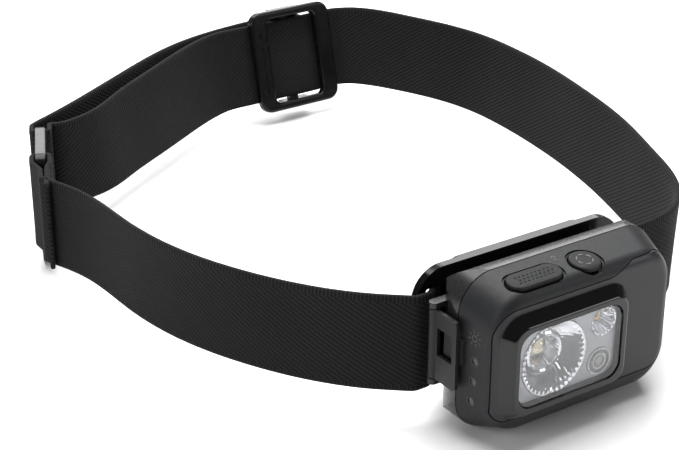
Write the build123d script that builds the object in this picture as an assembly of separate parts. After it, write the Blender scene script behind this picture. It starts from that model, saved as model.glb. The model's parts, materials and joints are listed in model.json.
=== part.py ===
"""Camping headlamp with its elastic head strap, millimetres.

+X runs along the lamp's width, -Y is the way the beam points and +Z is up. The origin is
on the ground under the middle of the lamp, in the plane where head and battery case meet.
The strap stands on edge behind the lamp, the way it lies on a table.
"""
from build123d import *
import math
import os

# lamp housing: its outline at the seam, and the smaller one at the front of the head
LEFT = -27.5
RIGHT = 30.0
HEIGHT = 40.0
CORNER = 9.0
FRONT_LEFT = -26.1
FRONT_RIGHT = 25.8
FRONT_LOW = 4.4
FRONT_TOP = 38.4
HEAD_DEPTH = 11.5
HEAD_EDGE = 3.0
CASE_DEPTH = 11.5
CASE_BULGE_X = 9.5
CASE_BULGE_Z = 14.0
PART_MARK_X = 23.4
WALL = 1.6
HEAD_WALL = 3.0
SEAM = 0.15
MID_X = (LEFT + RIGHT) / 2
MID_Z = HEIGHT / 2

# face cover and its raised lamp hood
COVER_T = 1.4
COVER_GAP = 0.25
COVER_BACK = -7.4
COVER_LEFT = -25.8
COVER_RIGHT = 25.0
COVER_LOW = 7.8
COVER_TOP = 35.2
COVER_STEP_TOP = 37.8
STEP_X = 7.6
STEP_RUN = 6.4
STEP_ROUND = 4.0
HOOD_RISE = 3.0
HOOD_SLOPE = 38.0
WINDOW_W = 30.0
WINDOW_H = 19.2
WINDOW_R = 4.0
WINDOW_X = -6.2
WINDOW_Z = 20.7
WINDOW_T = 1.2

# optics, all on axes parallel to Y
MAIN_X, MAIN_Z, MAIN_R = -9.9, 20.7, 9.4
TWIN_X, TWIN_Z, TWIN_R = 4.6, 25.6, 3.7
NIGHT_X, NIGHT_Z, NIGHT_R = 3.7, 15.6, 3.5
CARRIER_Y = -12.6
CARRIER_T = 1.0
BOWL_T = 0.5

# circuit boards
BOARD_W, BOARD_H, BOARD_T = 45.0, 27.0, 1.0
BOARD_X = 0.8
BOARD_Y = -2.6
BOARD_Z = 18.7
SCREW_X = 18.5
SCREW_R = 0.8
SCREW_HEAD_R = 1.7
SCREW_HEAD_T = 0.6
SWITCH_BOARD_Z = 32.0
SWITCH_BOARD_T = 0.8
SWITCH_H = 1.8

# buttons on the sloping top
POWER_X, POWER_L, POWER_W = -12.0, 14.8, 5.8
MODE_X, MODE_D = 2.8, 7.5
BUTTON_Y = -6.9
POWER_PROUD = 0.6
MODE_PROUD = 0.35
KEY_ROUND = 0.4
BUTTON_GAP = 0.3
BUTTON_TRAVEL = 0.8
POCKET_DEPTH = 2.0
MOAT_W = 0.8
MOAT_DEPTH = 0.45
MOAT_REACH = 1.3
STEM_R = 1.2

# battery meter on the left wall
METER_STEP = 5.3
METER_TOP_Z = 21.8
METER_Y = -5.6
PIPE_END = -23.6
PIPE_R = 0.9

# three AAA cells
CELL_D = 10.5
CELL_L = 44.5
CELL_PITCH = 10.6
CELL_Y = 3.3
NUB_D, NUB_L = 3.8, 0.8

# side hinge between case and head, and the latch opposite
HINGE_X, HINGE_Y, HINGE_R = 31.2, 4.0, 1.45
HINGE_PIN_R = 0.7
HINGE_SPAN = 6.0
PIN_FIT = 0.04
LATCH_X = -28.95
LATCH_T = 0.9
LATCH_Z = 21.6
LATCH_H = 17.6
LATCH_FRONT = -1.9
LATCH_PIN_Y = 6.9
LATCH_PIN_R = 0.6
LATCH_BARREL_R = 1.2
LATCH_WINDOW_H = 7.0
LATCH_WINDOW_Z = 22.8
LATCH_BAR = 1.5
CATCH_H = 6.0

# head bracket behind the case, and its tilt hinge along the bottom
PLATE_Y = 13.0
PLATE_T = 2.0
PLATE_W = 61.6
PLATE_LOW = 6.0
PLATE_HIGH = 36.4
RIM_T = 3.2
RIM_W = 42.0
SLOT_W = 6.2
SLOT_BAR = 2.6
SLOT_H = 25.0
SLOT_Z = 19.2
TILT_Y, TILT_Z, TILT_R = 13.6, 2.3, 2.3
TILT_PIN_R = 0.9
CASE_LUG_W = 23.2
PLATE_LUG_W = 5.0
SIDE_CLEAR = 0.3

# webbing and its hardware
STRAP_T = 1.4
STRAP_LOW = 6.8
STRAP_HIGH = 31.6
RING_H = 32.0
RING_W = 25.0
RING_T = 3.0
SLIDER_W = 30.0
SLIDER_H = 33.0
SLIDER_T = 2.6
SLIDER_LEAN = 14.0
SLIDER_X = 50.5
SLIDER_Y = 191.5

PARTS = "parts"


def facing(y):
    """Sketch plane across the beam at depth y: +X right, +Z up, extruding to the front."""
    return Plane(origin=(0, y, 0), x_dir=(1, 0, 0), z_dir=(0, -1, 0))


def rearward(y):
    """The same plane extruding to the back."""
    return Plane(origin=(0, y, 0), x_dir=(-1, 0, 0), z_dir=(0, 1, 0))


def head_section(depth, inset):
    """Outline of the head at a depth in front of the seam, drawn in by inset on every side."""
    share = depth / HEAD_DEPTH
    left = LEFT + (FRONT_LEFT - LEFT) * share + inset
    right = RIGHT + (FRONT_RIGHT - RIGHT) * share - inset
    low = FRONT_LOW * share + inset
    high = HEIGHT + (FRONT_TOP - HEIGHT) * share - inset
    outline = RectangleRounded(right - left, high - low, CORNER - inset)
    return facing(-depth) * Pos((left + right) / 2, (low + high) / 2) * outline


def head_block(inset, start, end, edge=0.0):
    """Head's tapering block between two depths, with its front edge rounded."""
    block = loft([head_section(start, inset), head_section(end, inset)], ruled=True)
    if edge:
        block = fillet(block.faces().sort_by(Axis.Y)[0].edges(), edge)
    return block


def bulge(start, low, high, run, back):
    """Profile of the case: flat at the seam, a quarter ellipse at each end, flat at the back."""
    reach = back - start
    line = Line((low, start), (high, start))
    line += EllipticalCenterArc((high - run, start), run, reach, 0, arc_size=90)
    line += Line((high - run, back), (low + run, back))
    line += EllipticalCenterArc((low + run, start), run, reach, 90, arc_size=90)
    return make_face(line)


def case_block(inset, start):
    """Pillow-shaped case: the seam's outline, bulged back seen from the side and from above."""
    width = RIGHT - LEFT - 2 * inset
    outline = RectangleRounded(width, HEIGHT - 2 * inset, CORNER - inset)
    block = extrude(rearward(start) * Pos(-MID_X, MID_Z) * outline, amount=CASE_DEPTH)
    above = bulge(start, LEFT + inset, RIGHT - inset, CASE_BULGE_X - inset, CASE_DEPTH - inset)
    aside = bulge(start, inset, HEIGHT - inset, CASE_BULGE_Z - inset, CASE_DEPTH - inset)
    from_above = extrude(Plane.XY * above, amount=HEIGHT)
    side_plane = Plane(origin=(LEFT - 1, 0, 0), x_dir=(0, 0, 1), z_dir=(-1, 0, 0))
    from_side = extrude(side_plane * aside, amount=-(RIGHT - LEFT + 2))
    return block & from_above & from_side


def rod(radius, start, end):
    """Cylinder between two points."""
    line = Vector(*end) - Vector(*start)
    plane = Plane(origin=start, z_dir=line)
    return extrude(plane * Circle(radius), amount=line.length)


def box(x0, x1, y0, y1, z0, z1):
    """Plain block from its limits."""
    return Pos((x0 + x1) / 2, (y0 + y1) / 2, (z0 + z1) / 2) * Box(x1 - x0, y1 - y0, z1 - z0)


def forward_disc(x, z, radius, start, depth):
    """Disc on an axis parallel to Y, from start towards the front."""
    return extrude(facing(start) * Pos(x, z) * Circle(radius), amount=depth)


# ---------------------------------------------------------------- head housing
def head_outer():
    return head_block(0, SEAM, HEAD_DEPTH, HEAD_EDGE)


def head_core():
    """The head less the thickness of its cover: the ledge that the cover sits on."""
    return head_block(COVER_T, SEAM, HEAD_DEPTH - COVER_T, HEAD_EDGE - COVER_T)


def cover_outline(grow):
    """The cover's outline, with the step where its right panel climbs over the shoulder."""
    corners = [
        (COVER_LEFT, COVER_LOW), (COVER_RIGHT, COVER_LOW), (COVER_RIGHT, COVER_STEP_TOP),
        (STEP_X + STEP_RUN, COVER_STEP_TOP), (STEP_X, COVER_TOP), (COVER_LEFT, COVER_TOP),
    ]
    radii = [3.6, 5.0, 5.0, STEP_ROUND, STEP_ROUND, 6.0]
    line = FilletPolyline(*corners, radius=radii, close=True)
    face = make_face(line)
    return offset(face, amount=grow) if grow else face


def cover_prism(grow):
    return extrude(facing(COVER_BACK) * cover_outline(grow), amount=HEAD_DEPTH)


def window_rounded(grow, radius):
    return Pos(WINDOW_X, WINDOW_Z) * RectangleRounded(WINDOW_W + 2 * grow, WINDOW_H + 2 * grow, radius)


def hood():
    """Raised frame round the window: a low rounded pyramid with its top cut off."""
    spread = HOOD_RISE * math.tan(math.radians(HOOD_SLOPE))
    base = facing(-HEAD_DEPTH + 0.6) * window_rounded(spread + 1.9, 6.5)
    block = extrude(base, amount=HOOD_RISE + 0.6, taper=HOOD_SLOPE)
    return fillet(block.faces().sort_by(Axis.Y)[0].edges(), 0.9)


def window_seat():
    """Stepped opening for the window: a ledge that holds it from behind."""
    front = -HEAD_DEPTH - HOOD_RISE
    pocket = extrude(facing(front + WINDOW_T + 0.3) * window_rounded(0.08, WINDOW_R), amount=4)
    throat = extrude(facing(-HEAD_DEPTH + 3) * window_rounded(-0.6, WINDOW_R - 0.6), amount=8)
    return pocket + throat


def optics_bay():
    """Room behind the hood for the carrier plate and the reflectors."""
    return extrude(facing(-HEAD_DEPTH + 3) * window_rounded(0.3, WINDOW_R), amount=4.25)


def face_cover():
    shell = ((head_outer() + hood()) & cover_prism(0)) - head_core()
    return shell - window_seat() - optics_bay()


def top_plane(x):
    """Plane on the sloping top at the buttons, normal outwards."""
    slope = math.atan((HEIGHT - FRONT_TOP) / HEAD_DEPTH)
    z = HEIGHT + BUTTON_Y * math.tan(slope)
    return Plane(origin=(x, BUTTON_Y, z), x_dir=(1, 0, 0), z_dir=(0, -math.sin(slope), math.cos(slope)))


def sunk(x, sketch, depth):
    """Prism square to the sloping top, from depth under it to well above it."""
    return extrude(top_plane(x).offset(-depth) * sketch, amount=depth + 2)


def moat(x, shape):
    """Shallow ring round a key, sunk into the top and its rounded shoulder alike."""
    ring = sunk(x, shape(MOAT_W), MOAT_REACH) - sunk(x, shape(BUTTON_GAP), MOAT_REACH)
    return ring - head_block(MOAT_DEPTH, 0, HEAD_DEPTH - MOAT_DEPTH, HEAD_EDGE - MOAT_DEPTH)


def power_shape(grow):
    return SlotOverall(POWER_L + 2 * grow, POWER_W + 2 * grow)


def mode_shape(grow):
    return Circle(MODE_D / 2 + grow)


def head_shell():
    cavity = head_block(HEAD_WALL, 0, HEAD_DEPTH - COVER_T - 1.2)
    pocket = (head_outer() & cover_prism(COVER_GAP)) - head_core()
    shell = head_outer() - cavity - pocket - optics_bay()
    for x, shape in ((POWER_X, power_shape), (MODE_X, mode_shape)):
        shell -= sunk(x, shape(BUTTON_GAP), POCKET_DEPTH)
        shell -= moat(x, shape)
        shell -= sunk(x, Circle(STEM_R + BUTTON_GAP), HEAD_WALL + 2)
    for y, z in meter_points():
        shell -= rod(PIPE_R + 0.02, (LEFT - 1, y, z), (PIPE_END + 1, y, z))
    for post in board_posts():
        shell += post
    return shell + head_knuckle() + latch_catch()


def knuckle(low, high):
    """Barrel of the side hinge between two heights, with its bore still closed."""
    return rod(HINGE_R, (HINGE_X, HINGE_Y, low), (HINGE_X, HINGE_Y, high))


def hinge_bore(low, high):
    return rod(HINGE_PIN_R + PIN_FIT, (HINGE_X, HINGE_Y, low - 1), (HINGE_X, HINGE_Y, high + 1))


def head_knuckle():
    """Middle barrel of the side hinge, on an arm that reaches back from the right wall."""
    low, high = MID_Z - HINGE_SPAN, MID_Z + HINGE_SPAN
    arm = box(RIGHT + 0.35, HINGE_X + 0.3, -2.6, HINGE_Y, low, high)
    root = box(RIGHT - 1.6, HINGE_X + 0.3, -2.6, -SEAM, low, high)
    return knuckle(low, high) + arm + root - hinge_bore(low, high)


def latch_catch():
    """Tongue that reaches back over the seam, under the latch's loop."""
    outer = LATCH_X + LATCH_T / 2 + SIDE_CLEAR
    low, high = LATCH_WINDOW_Z - CATCH_H / 2, LATCH_WINDOW_Z + CATCH_H / 2
    tongue = box(outer, LEFT - 0.1, -2.6, 4.0, low, high)
    root = box(outer, LEFT + 1.0, -2.6, -SEAM, low, high)
    return tongue + root


# ---------------------------------------------------------------- optics
def carrier_plate():
    """Grey plate behind the window with a bore for each reflector."""
    plate = extrude(facing(CARRIER_Y + CARRIER_T) * window_rounded(0.0, WINDOW_R), amount=CARRIER_T)
    for x, z, radius in ((MAIN_X, MAIN_Z, MAIN_R), (TWIN_X, TWIN_Z, TWIN_R), (NIGHT_X, NIGHT_Z, NIGHT_R)):
        plate -= forward_disc(x, z, radius + 0.05, CARRIER_Y + CARRIER_T + 1, CARRIER_T + 2)
    return plate


def bowl(x, z, radius, depth, throat):
    """Parabolic reflector, open at both ends, its rim level with the carrier plate."""
    steps = 6
    inner = []
    for i in range(steps + 1):
        r = throat + (radius - BOWL_T - throat) * i / steps
        share = (r * r - throat * throat) / ((radius - BOWL_T) ** 2 - throat * throat)
        inner.append((r, depth * share))
    outer = [(r + BOWL_T, y) for r, y in inner]
    profile = Spline(*inner) + Line(inner[-1], outer[-1]) + Spline(*outer[::-1]) + Line(outer[0], inner[0])
    cup = revolve(make_face(profile), Axis.Y)
    return Pos(x, CARRIER_Y + depth, z) * Rot(180, 0, 0) * cup


def main_depth():
    return 6.6


def main_reflector():
    return bowl(MAIN_X, MAIN_Z, MAIN_R, main_depth(), 3.0)


def led_star():
    """Aluminium board that carries the main emitter and spreads its heat."""
    y = CARRIER_Y + main_depth() + 1.3
    return extrude(facing(y) * Pos(MAIN_X, MAIN_Z) * RegularPolygon(8.0, 6), amount=1.2)


def main_led():
    y = CARRIER_Y + main_depth() + 0.1
    return extrude(facing(y) * Pos(MAIN_X, MAIN_Z) * RectangleRounded(3.4, 3.4, 0.3), amount=0.8)


def main_dome():
    """Clear dome over the main emitter, hollow where the emitter sits."""
    y = CARRIER_Y + main_depth() + 0.1
    dome = Pos(MAIN_X, y, MAIN_Z) * Sphere(2.7)
    front = box(MAIN_X - 4, MAIN_X + 4, y - 4, y, MAIN_Z - 4, MAIN_Z + 4)
    seat = box(MAIN_X - 1.75, MAIN_X + 1.75, y - 0.85, y + 1, MAIN_Z - 1.75, MAIN_Z + 1.75)
    return (dome & front) - seat


def twin_reflector():
    return bowl(TWIN_X, TWIN_Z, TWIN_R, 3.4, 1.9)


def twin_leds():
    """Two amber emitters side by side at the bottom of the small reflector."""
    y = CARRIER_Y + 3.4 + 0.5
    chips = [extrude(facing(y) * Pos(TWIN_X + side * 0.85, TWIN_Z - side * 0.5) * Rectangle(1.3, 1.6),
                     amount=0.9) for side in (-1, 1)]
    return Compound(children=chips)


def night_lens():
    """Ringed lens of the close-range light: a flanged disc with a domed middle."""
    y = CARRIER_Y + CARRIER_T
    disc = forward_disc(NIGHT_X, NIGHT_Z, NIGHT_R, y, CARRIER_T + 0.1)
    dome = Pos(NIGHT_X, y, NIGHT_Z) * Sphere(2.0)
    front = box(NIGHT_X - 3, NIGHT_X + 3, y - 1.3, y, NIGHT_Z - 3, NIGHT_Z + 3)
    ring = forward_disc(NIGHT_X, NIGHT_Z, 2.7, y, 3) - forward_disc(NIGHT_X, NIGHT_Z, 2.3, y, 3)
    return disc + (dome & front) - (ring & box(-20, 20, -20, CARRIER_Y + 0.2, 0, HEIGHT))


def night_led():
    y = CARRIER_Y + CARRIER_T + 1.2
    return extrude(facing(y) * Pos(NIGHT_X, NIGHT_Z) * Rectangle(1.8, 1.8), amount=0.9)


def small_led_board():
    """Board behind the two small lights."""
    y = CARRIER_Y + 5.1
    return extrude(facing(y) * Pos((TWIN_X + NIGHT_X) / 2, 20.6) * RectangleRounded(7.4, 17.0, 1), amount=1.0)


def led_risers():
    """Posts that bring the two small lights up from their board."""
    front = CARRIER_Y + 4.1
    twin = box(TWIN_X - 1.7, TWIN_X + 1.7, CARRIER_Y + 3.9, front, TWIN_Z - 1.6, TWIN_Z + 1.6)
    night = box(NIGHT_X - 1.2, NIGHT_X + 1.2, CARRIER_Y + 2.2, front, NIGHT_Z - 1.2, NIGHT_Z + 1.2)
    return Compound(children=[twin, night])


def window_lens():
    """Clear window, level with the hood's rim."""
    start = -HEAD_DEPTH - HOOD_RISE + WINDOW_T + 0.3
    pane = extrude(facing(start) * window_rounded(0, WINDOW_R), amount=WINDOW_T)
    return fillet(pane.faces().sort_by(Axis.Y)[0].edges(), 0.4)


# ---------------------------------------------------------------- electronics
def circuit_board():
    board = RectangleRounded(BOARD_W, BOARD_H, 2.5)
    for x, z in screw_points():
        board -= Pos(x - BOARD_X, z - BOARD_Z) * Circle(SCREW_R + 0.1)
    return extrude(facing(BOARD_Y) * Pos(BOARD_X, BOARD_Z) * board, amount=BOARD_T)


def switch_board():
    """Small board at right angles under the two buttons."""
    return box(-19, 9, -8.4, BOARD_Y - BOARD_T - 0.1, SWITCH_BOARD_Z,
               SWITCH_BOARD_Z + SWITCH_BOARD_T)


def tact_switch(x):
    base = SWITCH_BOARD_Z + SWITCH_BOARD_T
    body = box(x - 1.9, x + 1.9, BUTTON_Y - 1.6, BUTTON_Y + 1.9, base, base + SWITCH_H - 0.5)
    return body + Pos(x, BUTTON_Y + 0.3, base + SWITCH_H - 0.25) * Cylinder(0.9, 0.5)


def button(x, shape, proud):
    """Rubber key: proud of the top, with a stem that reaches its switch."""
    plane = top_plane(x)
    key = sunk(x, shape(0), POCKET_DEPTH - BUTTON_TRAVEL - BUTTON_GAP)
    key &= head_block(-proud, 0, HEAD_DEPTH + proud, HEAD_EDGE + proud)
    rim = [edge for edge in key.edges() if edge.center().Z > plane.origin.Z - 1.2 + 0.1 * edge.center().Y]
    key = fillet(rim, KEY_ROUND)
    stem_end = SWITCH_BOARD_Z + SWITCH_BOARD_T + SWITCH_H + BUTTON_TRAVEL + BUTTON_GAP
    stem_length = plane.origin.Z - stem_end
    stem = extrude(plane.offset(-stem_length) * Circle(STEM_R), amount=stem_length)
    return key + stem


def power_button():
    return button(POWER_X, power_shape, POWER_PROUD)


def mode_button():
    return button(MODE_X, mode_shape, MODE_PROUD)


def meter_points():
    """Places of the three meter lights along the left wall, from the top one down."""
    return [(METER_Y + 0.4 * i, METER_TOP_Z - METER_STEP * i) for i in range(3)]


def meter_pipes():
    """Three light pipes that end level with the left wall."""
    pipes = []
    for y, z in meter_points():
        face = LEFT + (FRONT_LEFT - LEFT) * -y / HEAD_DEPTH + 0.05
        pipes.append(rod(PIPE_R, (face, y, z), (PIPE_END, y, z)))
    return Compound(children=pipes)


def meter_leds():
    """Side-looking emitters on the circuit board, one behind each pipe."""
    near = PIPE_END + 0.2
    return Compound(children=[box(near, near + 1.1, y - 0.7, BOARD_Y - BOARD_T, z - 0.7, z + 0.7)
                              for y, z in meter_points()])


def screw_points():
    """Places of the two board screws, near the board's lower corners."""
    return [(BOARD_X + side * SCREW_X, BOARD_Z - BOARD_H / 2 + 2.6) for side in (-1, 1)]


def board_screws():
    """Two pan-head screws that hold the circuit board to posts in the head."""
    screws = []
    for x, z in screw_points():
        head = forward_disc(x, z, SCREW_HEAD_R, BOARD_Y + SCREW_HEAD_T, SCREW_HEAD_T)
        slot = box(x - 1.2, x + 1.2, BOARD_Y + SCREW_HEAD_T / 2, BOARD_Y + 1.2, z - 0.2, z + 0.2)
        screws.append(head + forward_disc(x, z, SCREW_R, BOARD_Y, BOARD_T + 3) - slot)
    return Compound(children=screws)


def board_posts():
    """Posts on the inside of the head's front wall that take the board screws."""
    posts = []
    for x, z in screw_points():
        wall = -HEAD_DEPTH + COVER_T + 1.2
        back = BOARD_Y - BOARD_T
        post = forward_disc(x, z, 1.9, back, back - wall + 0.4)
        posts.append(post - forward_disc(x, z, SCREW_R, BOARD_Y, BOARD_T + 3))
    return posts


# ---------------------------------------------------------------- battery case
def rear_case():
    cavity = case_block(WALL, 0)
    half = CASE_LUG_W / 2
    lug = box(MID_X - half, MID_X + half, SEAM, TILT_Y, TILT_Z - TILT_R, TILT_Z + TILT_R)
    barrel = rod(TILT_R, (MID_X - half, TILT_Y, TILT_Z), (MID_X + half, TILT_Y, TILT_Z))
    case = case_block(0, SEAM) + lug + barrel + latch_posts() + case_knuckles() - cavity
    case -= rod(TILT_PIN_R + PIN_FIT, (LEFT, TILT_Y, TILT_Z), (RIGHT, TILT_Y, TILT_Z))
    mark = box(PART_MARK_X, PART_MARK_X + 0.4, -1, 8, HEIGHT - 0.5, HEIGHT + 1)
    return case - seal_ring(0.02) - mark


def seal_ring(grow):
    """Rounded rectangular ring let into the case's rim."""
    width = 0.4 + grow
    sketch = None
    for side in (1, -1):
        inset = WALL / 2 - side * width
        outline = RectangleRounded(RIGHT - LEFT - 2 * inset, HEIGHT - 2 * inset, CORNER - inset)
        sketch = sketch - outline if sketch else outline
    return extrude(rearward(-0.05) * Pos(-MID_X, MID_Z) * sketch, amount=0.9 + grow)


def case_knuckles():
    """Upper and lower barrels of the side hinge, on webs from the right wall."""
    parts = Part()
    for side in (-1, 1):
        near = MID_Z + side * (HINGE_SPAN + SIDE_CLEAR)
        far = MID_Z + side * 2 * HINGE_SPAN
        low, high = min(near, far), max(near, far)
        web = box(RIGHT - 2.6, HINGE_X, HINGE_Y - 1.0, HINGE_Y + 1.2, low, high)
        parts += knuckle(low, high) + web - hinge_bore(low, high)
    return parts


def hinge_pin():
    reach = 2 * HINGE_SPAN
    return rod(HINGE_PIN_R, (HINGE_X, HINGE_Y, MID_Z - reach), (HINGE_X, HINGE_Y, MID_Z + reach))


def latch_posts():
    """Two ears on the left wall that carry the latch's pin."""
    parts = Part()
    for side in (-1, 1):
        near = LATCH_Z + side * (LATCH_H / 2 + SIDE_CLEAR)
        far = near + side * 1.4
        low, high = min(near, far), max(near, far)
        ear = rod(LATCH_BARREL_R, (LATCH_X, LATCH_PIN_Y, low), (LATCH_X, LATCH_PIN_Y, high))
        web = box(LATCH_X, LEFT + 4.5, LATCH_PIN_Y - LATCH_BARREL_R, LATCH_PIN_Y + LATCH_BARREL_R, low, high)
        parts += ear + web - rod(LATCH_PIN_R, (LATCH_X, LATCH_PIN_Y, low - 1), (LATCH_X, LATCH_PIN_Y, high + 1))
    return parts


def latch_pin():
    reach = LATCH_H / 2 + SIDE_CLEAR + 1.4
    return rod(LATCH_PIN_R, (LATCH_X, LATCH_PIN_Y, LATCH_Z - reach), (LATCH_X, LATCH_PIN_Y, LATCH_Z + reach))


def latch_arm():
    """Loop that lies over the seam and hooks the head's tongue."""
    low, high = LATCH_Z - LATCH_H / 2, LATCH_Z + LATCH_H / 2
    arm = box(LATCH_X - LATCH_T / 2, LATCH_X + LATCH_T / 2, LATCH_FRONT, LATCH_PIN_Y, low, high)
    barrel = rod(LATCH_BARREL_R, (LATCH_X, LATCH_PIN_Y, low), (LATCH_X, LATCH_PIN_Y, high))
    arm = fillet(arm.edges().filter_by(Axis.X).sort_by(Axis.Y)[:2], 1.2)
    hole = box(LATCH_X - 4, LATCH_X + 4, LATCH_FRONT + LATCH_BAR, LATCH_PIN_Y - 1.9,
               LATCH_WINDOW_Z - LATCH_WINDOW_H / 2, LATCH_WINDOW_Z + LATCH_WINDOW_H / 2)
    bore = rod(LATCH_PIN_R + PIN_FIT, (LATCH_X, LATCH_PIN_Y, 0), (LATCH_X, LATCH_PIN_Y, HEIGHT))
    return arm + barrel - hole - bore


def battery_cell(row):
    """AAA cell lying along X; neighbours point opposite ways."""
    z = MID_Z + row * CELL_PITCH
    way = -1 if row else 1
    half = CELL_L / 2
    can = rod(CELL_D / 2, (MID_X - way * half, CELL_Y, z), (MID_X + way * (half - NUB_L), CELL_Y, z))
    can = fillet(can.edges().filter_by(GeomType.CIRCLE), 0.5)
    return can + rod(NUB_D / 2, (MID_X + way * (half - NUB_L - 0.1), CELL_Y, z), (MID_X + way * half, CELL_Y, z))


def contact_plates():
    """Flat terminals at the cells' nub ends."""
    plates = []
    for row in (-1, 0, 1):
        way = -1 if row else 1
        z = MID_Z + row * CELL_PITCH
        near = MID_X + way * (CELL_L / 2 + 0.05)
        far = MID_X + way * (CELL_L / 2 + 0.55)
        plates.append(box(min(near, far), max(near, far), CELL_Y - 3.0, CELL_Y + 3.0, z - 3.4, z + 3.4))
    return Compound(children=plates)


def contact_springs():
    """Conical coil springs at the cells' flat ends."""
    springs = []
    for row in (-1, 0, 1):
        way = -1 if row else 1
        z = MID_Z + row * CELL_PITCH
        path = Helix(pitch=0.95, height=2.6, radius=2.5, cone_angle=-15)
        wire = sweep(Plane(origin=path @ 0, z_dir=path % 0) * Circle(0.25), path=path)
        place = Plane(origin=(MID_X - way * (CELL_L / 2 + 3.0), CELL_Y, z), z_dir=(way, 0, 0))
        springs.append(place * wire)
    return Compound(children=springs)


# ---------------------------------------------------------------- bracket
def bracket():
    """Plate that rests on the forehead and carries the strap and the tilt hinge."""
    height = PLATE_HIGH - PLATE_LOW
    mid = Pos(-MID_X, (PLATE_HIGH + PLATE_LOW) / 2)
    plate = extrude(rearward(PLATE_Y) * mid * RectangleRounded(PLATE_W, height, 8.0), amount=PLATE_T)
    rim = extrude(rearward(PLATE_Y) * mid * RectangleRounded(RIM_W, height, 4.0), amount=RIM_T)
    rim = fillet(rim.faces().sort_by(Axis.Y)[-1].edges(), 0.8)
    field = extrude(rearward(PLATE_Y + 1.4) * mid * RectangleRounded(RIM_W - 5, height - 5, 2.5), amount=4)
    plate = plate + rim - field
    for side in (-1, 1):
        place = Pos(side * SLOT_OUT - MID_X, SLOT_Z)
        slot = rearward(PLATE_Y - 1) * place * RectangleRounded(SLOT_W, SLOT_H, 1.0)
        plate -= extrude(slot, amount=RIM_T + 2)
        plate += bracket_lug(MID_X + side * (CASE_LUG_W / 2 + SIDE_CLEAR + PLATE_LUG_W / 2))
    return plate - rod(TILT_PIN_R, (LEFT, TILT_Y, TILT_Z), (RIGHT, TILT_Y, TILT_Z))


SLOT_OUT = PLATE_W / 2 - SLOT_BAR - SLOT_W / 2


def bracket_lug(x):
    """Barrel of the tilt hinge and the strut that hangs it from the plate."""
    half = PLATE_LUG_W / 2
    barrel = rod(TILT_R, (x - half, TILT_Y, TILT_Z), (x + half, TILT_Y, TILT_Z))
    strut = box(x - half, x + half, PLATE_Y, TILT_Y + TILT_R - 0.5, TILT_Z, PLATE_LOW + 1.5)
    return barrel + strut


def tilt_pin():
    reach = CASE_LUG_W / 2 + SIDE_CLEAR + PLATE_LUG_W
    return rod(TILT_PIN_R, (MID_X - reach, TILT_Y, TILT_Z), (MID_X + reach, TILT_Y, TILT_Z))


# ---------------------------------------------------------------- strap
# A strap's route is a list of (x, y, lean): its middle line going round the head from the
# lamp's left side to its right, and how far the top edge stands out beyond the bottom one.
LEFT_ROUTE = [
    (-32.1, 13.4, 0), (-37.5, 18.0, 0), (-46, 27.6, 0), (-55, 42.5, 0), (-62, 60, 0), (-66, 84, 0),
    (-67.6, 108, 0), (-67.4, 122, 0), (-67.0, 130.4, 0),
]
RETURN_ROUTE = [
    (-56.3, 156.1, 3), (-46.6, 159.4, 5), (-31, 167.4, 6), (-14, 177.4, 6.5), (2, 186.4, 6.5),
    (16, 191.8, 6.5), (26, 194, 6.2), (35.6, 194.3, 6.2),
]
INNER_ROUTE = [
    (-54.2, 153.4, 1), (-43, 153.4, 2.5), (-26, 162.6, 4.5), (-9, 173.4, 5.5), (6, 182.8, 6),
    (18, 189.2, 6.2), (25, SLIDER_Y - 0.1, 6.2), (31.6, SLIDER_Y, 6.2),
]
RIGHT_ROUTE = [
    (68.6, SLIDER_Y, 6.2), (73.4, 189.2, 6.2), (77.8, 184.2, 6), (83.5, 173, 5), (88.6, 160, 4.5),
    (91.8, 146, 4.5), (92.2, 130, 4.5), (90.6, 112, 4.5), (87, 92, 4), (80.6, 68, 4), (71.4, 44, 3),
    (60.4, 22.6, 1.5), (49.5, 13.8, 0), (39.0, 11.7, 0),
]
REAR_STRETCH = (32.0, 68.2)
# The front stretch runs before the bracket's outer bars, through its slots and behind its rim.
FRONT_Y = 11.9
BEHIND_Y = PLATE_Y + RIM_T + STRAP_T / 2 + 0.05
FRONT_PATH = [
    (-31.9, 13.2), (-30.3, FRONT_Y), (-26.4, FRONT_Y), (-20.6, BEHIND_Y), (23.1, BEHIND_Y),
    (28.9, FRONT_Y), (38.6, 11.7),
]
FRONT_FOLD = 2.0


def normals(route, first, last):
    """Unit normals of a route, pointing out of the head loop; the ends may be given."""
    result = []
    for i in range(len(route)):
        x0, y0, _ = route[max(i - 1, 0)]
        x1, y1, _ = route[min(i + 1, len(route) - 1)]
        length = math.hypot(x1 - x0, y1 - y0)
        result.append((-(y1 - y0) / length, (x1 - x0) / length))
    result[0] = first or result[0]
    result[-1] = last or result[-1]
    return result


def band_section(points, level, lean_share):
    """Cross-section of the strap at one height, as a face."""
    edges = []
    for half in (STRAP_T / 2, -STRAP_T / 2):
        edges.append([(x + nx * (lean * lean_share + half), y + ny * (lean * lean_share + half))
                      for (x, y, lean), (nx, ny) in points])
    outer, inner = edges
    line = Spline(*outer) + Line(outer[-1], inner[-1]) + Spline(*inner[::-1]) + Line(inner[0], outer[0])
    return Plane.XY.offset(level) * make_face(line)


def band(route, first=None, last=None):
    """Webbing on edge along a route."""
    points = list(zip(route, normals(route, first, last)))
    low = band_section(points, STRAP_LOW, -0.5)
    return loft([low, band_section(points, STRAP_HIGH, 0.5)], ruled=True)


def front_band():
    """Upright front stretch of the strap, threaded through the bracket."""
    path = FilletPolyline(*FRONT_PATH, radius=FRONT_FOLD)
    return extrude(Plane.XY.offset(STRAP_LOW) * trace(path, STRAP_T), amount=STRAP_HIGH - STRAP_LOW)


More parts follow.
